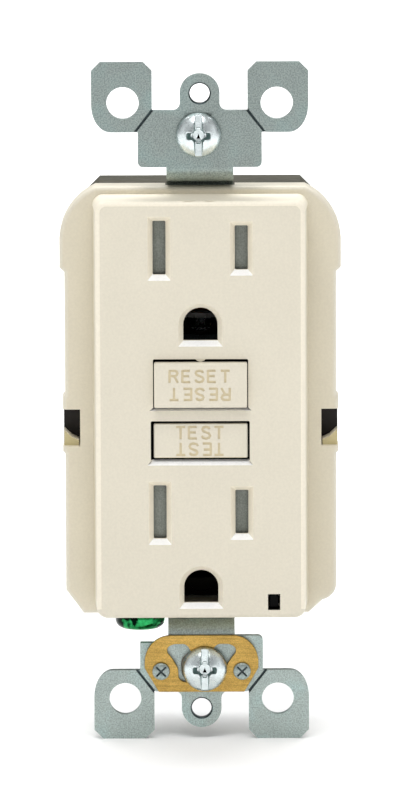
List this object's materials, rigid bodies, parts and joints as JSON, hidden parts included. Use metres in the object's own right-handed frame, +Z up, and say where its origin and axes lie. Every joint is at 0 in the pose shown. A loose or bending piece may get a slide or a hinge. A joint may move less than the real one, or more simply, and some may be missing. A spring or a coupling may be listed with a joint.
{
  "type": "gfci outlet",
  "caption": "Almond duplex ground-fault wall receptacle on a steel mounting strap, with sprung reset and test buttons, captive mounting screws and side terminals.",
  "frame": {"origin": "centre between the two mounting screws, in the back plane of the strap's ears, which rests on the wall", "axes": "+X to the right as seen from the front, +Y into the wall, +Z up; the outlets face -Y"},
  "size_m": [0.0438, 0.0341, 0.1064],
  "materials": {
    "almond_plastic": "satin moulded",
    "dark_plastic": "matt moulded",
    "brown_plastic": "matt moulded",
    "white_plastic": "matt moulded",
    "galvanised_steel": "dull zinc",
    "plated_steel": "bright zinc",
    "green_steel": "bright green dyed zinc",
    "brass": "satin",
    "copper_wire": "enamelled copper wire",
    "fibre": "pressed fibre",
    "board": "solder mask",
    "ferrite": "matt",
    "lamp": "smoked window"
  },
  "bodies": {
    "housing": {"front_cover": "almond_plastic", "indicator_lens": "lamp", "indicator_led": "white_plastic", "solenoid_bobbin": "white_plastic", "capacitor": "white_plastic", "mounting_strap": "galvanised_steel", "clip_rivet_left": "galvanised_steel", "clip_rivet_right": "galvanised_steel", "grounding_clip": "brass", "hot_receptacle_contact": "brass", "neutral_receptacle_contact": "brass", "ground_contact_top": "brass", "ground_contact_bottom": "brass", "test_contact": "brass", "terminal_line_hot": "brass", "terminal_line_neutral": "brass", "terminal_load_hot": "brass", "terminal_load_neutral": "brass", "plunger_spring": "plated_steel", "reset_spring": "plated_steel", "assembly_screw_upper_right": "plated_steel", "assembly_screw_upper_left": "plated_steel", "assembly_screw_lower_right": "plated_steel", "assembly_screw_lower_left": "plated_steel", "middle_housing": "brown_plastic", "varistor": "brown_plastic", "test_resistor": "brown_plastic", "rear_housing": "dark_plastic", "toroid_housing": "dark_plastic", "thyristor": "dark_plastic", "control_chip": "dark_plastic", "solenoid_coil": "copper_wire", "sensing_toroid": "ferrite", "neutral_toroid": "ferrite", "circuit_board": "board"},
    "reset": {"reset_button": "almond_plastic", "reset_pin": "plated_steel"},
    "test": {"test_button": "almond_plastic"},
    "lifter": {"lifter": "white_plastic", "hot_moving_contact": "brass", "neutral_moving_contact": "brass"},
    "latch": {"latch_plate": "plated_steel"},
    "plunger": {"plunger": "plated_steel"},
    "mount_slider_top": {"retainer_washer_top": "fibre"},
    "mount_slider_bottom": {"retainer_washer_bottom": "fibre"},
    "mount_screw_top": {"mounting_screw_top": "plated_steel"},
    "mount_screw_bottom": {"mounting_screw_bottom": "plated_steel"},
    "ground_clamp": {"ground_clamp_plate": "galvanised_steel"},
    "ground_screw": {"ground_screw": "green_steel"},
    "clamp_line_hot": {"clamp_line_hot": "plated_steel"},
    "screw_line_hot": {"terminal_screw_line_hot": "brass"},
    "clamp_line_neutral": {"clamp_line_neutral": "plated_steel"},
    "screw_line_neutral": {"terminal_screw_line_neutral": "plated_steel"},
    "clamp_load_hot": {"clamp_load_hot": "plated_steel"},
    "screw_load_hot": {"terminal_screw_load_hot": "brass"},
    "clamp_load_neutral": {"clamp_load_neutral": "plated_steel"},
    "screw_load_neutral": {"terminal_screw_load_neutral": "plated_steel"}
  },
  "joints": [
    {"name": "reset_press", "type": "slide", "parent": "housing", "child": "reset", "axis": [0, 1, 0], "range_m": [0, 0.0022], "stiffness_N_per_m": 1500, "deforming": ["reset_spring"]},
    {"name": "test_press", "type": "slide", "parent": "housing", "child": "test", "axis": [0, 1, 0], "range_m": [0, 0.0014], "stiffness_N_per_m": 1200},
    {"name": "lifter_slide", "type": "slide", "parent": "housing", "child": "lifter", "axis": [0, -1, 0], "range_m": [0, 0.0011]},
    {"name": "plunger_strike", "type": "slide", "parent": "housing", "child": "plunger", "axis": [0, 0, -1], "range_m": [0, 0.002], "stiffness_N_per_m": 600, "deforming": ["plunger_spring"]},
    {"name": "latch_slide", "type": "slide", "parent": "lifter", "child": "latch", "axis": [0, 0, -1], "range_m": [0, 0.002]},
    {"name": "mount_slide_top", "type": "slide", "parent": "housing", "child": "mount_slider_top", "axis": [1, 0, 0], "range_m": [-0.0009, 0.0013]},
    {"name": "mount_slide_bottom", "type": "slide", "parent": "housing", "child": "mount_slider_bottom", "axis": [1, 0, 0], "range_m": [-0.0016, 0.0006]},
    {"name": "mount_turn_top", "type": "hinge", "parent": "mount_slider_top", "child": "mount_screw_top", "pos_m": [-0.0002, 0, 0.04195], "axis": [0, 1, 0], "continuous": true},
    {"name": "mount_turn_bottom", "type": "hinge", "parent": "mount_slider_bottom", "child": "mount_screw_bottom", "pos_m": [0.0005, 0, -0.04195], "axis": [0, 1, 0], "continuous": true},
    {"name": "ground_clamp_slide", "type": "slide", "parent": "housing", "child": "ground_clamp", "axis": [0, 0, 1], "range_m": [0, 0.00159]},
    {"name": "ground_screw_turn", "type": "hinge", "parent": "ground_clamp", "child": "ground_screw", "pos_m": [-0.0096, 0.0034, -0.034], "axis": [0, 0, 1], "range_deg": [0, 720]},
    {"name": "clamp_slide_line_hot", "type": "slide", "parent": "housing", "child": "clamp_line_hot", "axis": [-1, 0, 0], "range_m": [0, 0.00159]},
    {"name": "screw_turn_line_hot", "type": "hinge", "parent": "clamp_line_hot", "child": "screw_line_hot", "pos_m": [0.0179, 0.01785, 0.0115], "axis": [-1, 0, 0], "range_deg": [0, 720]},
    {"name": "clamp_slide_line_neutral", "type": "slide", "parent": "housing", "child": "clamp_line_neutral", "axis": [1, 0, 0], "range_m": [0, 0.00159]},
    {"name": "screw_turn_line_neutral", "type": "hinge", "parent": "clamp_line_neutral", "child": "screw_line_neutral", "pos_m": [-0.0179, 0.01785, 0.0115], "axis": [1, 0, 0], "range_deg": [0, 720]},
    {"name": "clamp_slide_load_hot", "type": "slide", "parent": "housing", "child": "clamp_load_hot", "axis": [-1, 0, 0], "range_m": [0, 0.00159]},
    {"name": "screw_turn_load_hot", "type": "hinge", "parent": "clamp_load_hot", "child": "screw_load_hot", "pos_m": [0.0179, 0.01785, -0.0135], "axis": [-1, 0, 0], "range_deg": [0, 720]},
    {"name": "clamp_slide_load_neutral", "type": "slide", "parent": "housing", "child": "clamp_load_neutral", "axis": [1, 0, 0], "range_m": [0, 0.00159]},
    {"name": "screw_turn_load_neutral", "type": "hinge", "parent": "clamp_load_neutral", "child": "screw_load_neutral", "pos_m": [-0.0179, 0.01785, -0.0135], "axis": [1, 0, 0], "range_deg": [0, 720]}
  ],
  "couplings": [
    {"joint": "lifter_slide", "follows": "reset_press", "ratio": 0.5},
    {"joint": "latch_slide", "follows": "plunger_strike", "ratio": 1},
    {"joint": "ground_screw_turn", "follows": "ground_clamp_slide", "rad_per_m": 7913.3},
    {"joint": "screw_turn_line_hot", "follows": "clamp_slide_line_hot", "rad_per_m": 7913.3},
    {"joint": "screw_turn_line_neutral", "follows": "clamp_slide_line_neutral", "rad_per_m": 7913.3},
    {"joint": "screw_turn_load_hot", "follows": "clamp_slide_load_hot", "rad_per_m": 7913.3},
    {"joint": "screw_turn_load_neutral", "follows": "clamp_slide_load_neutral", "rad_per_m": 7913.3}
  ]
}
